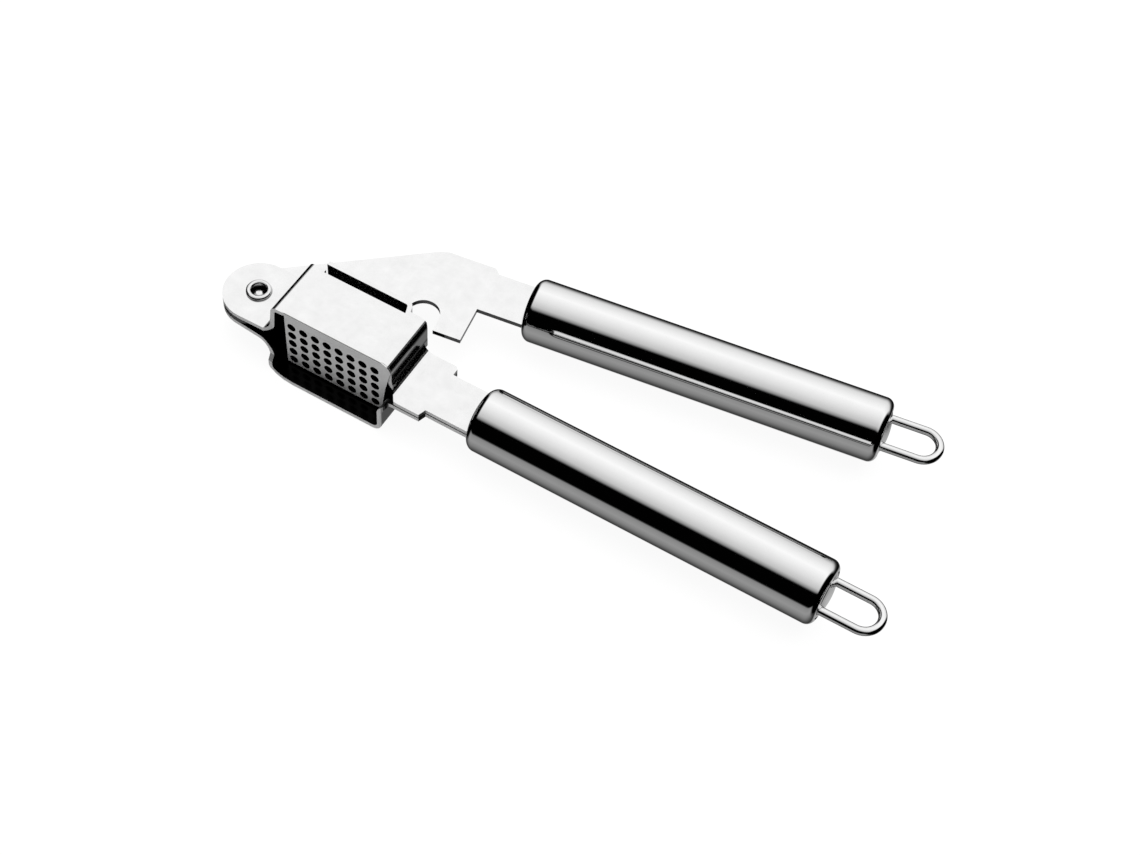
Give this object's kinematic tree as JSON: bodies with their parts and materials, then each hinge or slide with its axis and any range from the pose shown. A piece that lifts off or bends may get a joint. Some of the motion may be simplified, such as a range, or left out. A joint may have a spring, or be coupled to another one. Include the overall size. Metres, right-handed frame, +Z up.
{
  "type": "garlic press",
  "caption": "Hand garlic press: perforated steel basket, plunger on a swinging arm plate, riveted pivot, round tube handles with wire hanging loops.",
  "frame": {"origin": "bottom centre of the bounding box, in the plane of the basket's floor", "axes": "+X along the lower handle from the pivot to its hanging loop, +Y from the lower handle to the upper one, +Z up along the pivot axis"},
  "size_m": [0.1878, 0.0692, 0.0212],
  "materials": {
    "sheet_steel": "polished stainless sheet with faint scratches",
    "rivet_steel": "rolled stainless rivet, polished",
    "handle_steel": "mirror-polished stainless tube",
    "wire_steel": "bright drawn stainless wire"
  },
  "bodies": {
    "lower_arm": {"basket_top_shell": "sheet_steel", "basket_bottom_shell": "sheet_steel", "pivot_rivet": "rivet_steel", "lower_handle_tube": "handle_steel", "lower_handle_front_cap": "handle_steel", "lower_handle_end_cap": "handle_steel", "lower_hanging_loop": "wire_steel"},
    "upper_arm": {"press_arm_plate": "sheet_steel", "plunger": "sheet_steel", "upper_handle_tube": "handle_steel", "upper_handle_front_cap": "handle_steel", "upper_handle_end_cap": "handle_steel", "upper_hanging_loop": "wire_steel"}
  },
  "joints": [
    {"name": "arm_pivot", "type": "hinge", "parent": "lower_arm", "child": "upper_arm", "pos_m": [-0.0846, -0.02193, 0.0106], "axis": [0, 0, 1], "range_deg": [-8.5, 120]}
  ]
}
